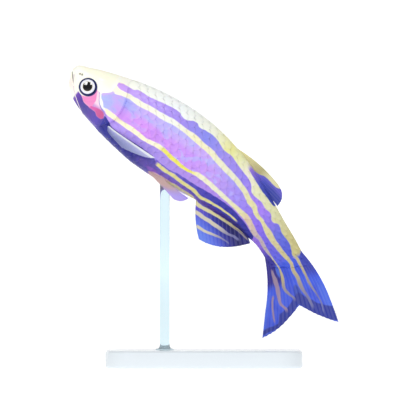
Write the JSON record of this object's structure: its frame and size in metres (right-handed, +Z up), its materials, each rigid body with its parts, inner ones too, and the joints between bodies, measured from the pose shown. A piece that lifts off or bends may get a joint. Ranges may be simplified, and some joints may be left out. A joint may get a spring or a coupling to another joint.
{
  "type": "zebra danio model",
  "caption": "Life-size zebra danio, a slim striped aquarium fish bent gently down at the tail, held head up by a thin rod on a flat clear base.",
  "frame": {"origin": "middle of the underside of the stand's base", "axes": "+Z up; the nose points to -X and up, the tail to +X and down; +Y is the fish's right side and -Y its left side"},
  "size_m": [0.0369, 0.016, 0.0416],
  "materials": {
    "fish_skin": "satin, painted in cream and violet stripes",
    "fin_membrane": "satin, thin and slightly translucent",
    "eye": "polished",
    "clear_stand": "clear, polished"
  },
  "bodies": {
    "root": {"head": "fish_skin", "trunk": "fish_skin", "tail": "fish_skin", "dorsal_fin": "fin_membrane", "anal_fin": "fin_membrane", "caudal_fin": "fin_membrane", "pectoral_fin_left": "fin_membrane", "pectoral_fin_right": "fin_membrane", "pelvic_fin_left": "fin_membrane", "pelvic_fin_right": "fin_membrane", "eye_left": "eye", "eye_right": "eye", "barbel_rostral_left": "fish_skin", "barbel_rostral_right": "fish_skin", "barbel_maxillary_left": "fish_skin", "barbel_maxillary_right": "fish_skin", "stand_base": "clear_stand", "stand_rod": "clear_stand"}
  },
  "joints": []
}
